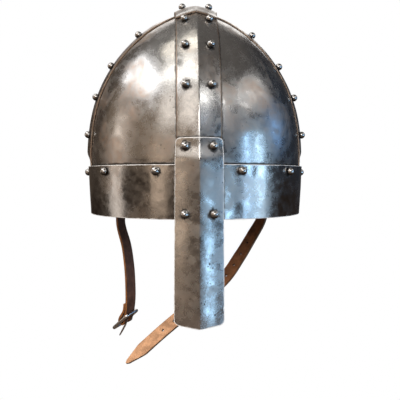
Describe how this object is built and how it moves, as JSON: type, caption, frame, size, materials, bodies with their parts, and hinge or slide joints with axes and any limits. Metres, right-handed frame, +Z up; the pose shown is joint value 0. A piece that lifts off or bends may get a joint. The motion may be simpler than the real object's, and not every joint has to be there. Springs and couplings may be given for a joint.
{
  "type": "spangenhelm helmet",
  "caption": "Riveted conical steel helmet of four plates held by ridged bands and a brow band, with a ridged nose guard and an open leather chin strap with a steel buckle",
  "frame": {"origin": "centre of the helmet's rim plane, where it sits on a head", "axes": "+Z up, the face looks along -Y, +X is the wearer's left"},
  "size_m": [0.2186, 0.2482, 0.3595],
  "materials": {
    "plate_steel": "dark burnished sheet steel with brown heat tints and fine scratches",
    "band_steel": "burnished sheet steel with filed bright edges and brown stains",
    "rivet_steel": "polished domed steel",
    "buckle_steel": "bent steel wire, worn bright",
    "dark_leather": "dark brown grain side with raw orange brown cut edges",
    "tan_leather": "flesh side of tan leather, undyed and slightly furry"
  },
  "bodies": {
    "helmet": {"back_band": "band_steel", "brow_band": "band_steel", "front_band": "band_steel", "nasal": "band_steel", "plate_back_left": "plate_steel", "plate_back_right": "plate_steel", "plate_front_left": "plate_steel", "plate_front_right": "plate_steel", "rivet_apex_back_left": "rivet_steel", "rivet_apex_back_right": "rivet_steel", "rivet_apex_front_left": "rivet_steel", "rivet_apex_front_right": "rivet_steel", "rivet_back_1a": "rivet_steel", "rivet_back_1b": "rivet_steel", "rivet_back_2a": "rivet_steel", "rivet_back_2b": "rivet_steel", "rivet_back_3a": "rivet_steel", "rivet_back_3b": "rivet_steel", "rivet_brow_1_left": "rivet_steel", "rivet_brow_1_right": "rivet_steel", "rivet_brow_2_left": "rivet_steel", "rivet_brow_2_right": "rivet_steel", "rivet_brow_3_left": "rivet_steel", "rivet_brow_3_right": "rivet_steel", "rivet_brow_4_left": "rivet_steel", "rivet_brow_4_right": "rivet_steel", "rivet_front_1a": "rivet_steel", "rivet_front_1b": "rivet_steel", "rivet_front_2a": "rivet_steel", "rivet_front_2b": "rivet_steel", "rivet_front_3a": "rivet_steel", "rivet_front_3b": "rivet_steel", "rivet_left_1a": "rivet_steel", "rivet_left_1b": "rivet_steel", "rivet_left_2a": "rivet_steel", "rivet_left_2b": "rivet_steel", "rivet_left_3a": "rivet_steel", "rivet_left_3b": "rivet_steel", "rivet_left_4a": "rivet_steel", "rivet_left_4b": "rivet_steel", "rivet_nape_left": "rivet_steel", "rivet_nape_right": "rivet_steel", "rivet_nasal_high_left": "rivet_steel", "rivet_nasal_high_right": "rivet_steel", "rivet_nasal_low_left": "rivet_steel", "rivet_nasal_low_right": "rivet_steel", "rivet_right_1a": "rivet_steel", "rivet_right_1b": "rivet_steel", "rivet_right_2a": "rivet_steel", "rivet_right_2b": "rivet_steel", "rivet_right_3a": "rivet_steel", "rivet_right_3b": "rivet_steel", "rivet_right_4a": "rivet_steel", "rivet_right_4b": "rivet_steel", "side_band_left": "band_steel", "side_band_right": "band_steel", "strap_buckle": "dark_leather", "strap_long": "tan_leather"},
    "buckle": {"buckle_frame": "buckle_steel"},
    "tongue": {"buckle_tongue": "buckle_steel"}
  },
  "joints": [
    {"name": "buckle_swing", "type": "hinge", "parent": "helmet", "child": "buckle", "pos_m": [-0.07523, 0.06739, -0.1227], "axis": [0.5629, 0.8039, 0.1921], "range_deg": [0, 80]},
    {"name": "tongue_swing", "type": "hinge", "parent": "buckle", "child": "tongue", "pos_m": [-0.07523, 0.06739, -0.1227], "axis": [0.5629, 0.8039, 0.1921], "range_deg": [-60, 15]}
  ]
}
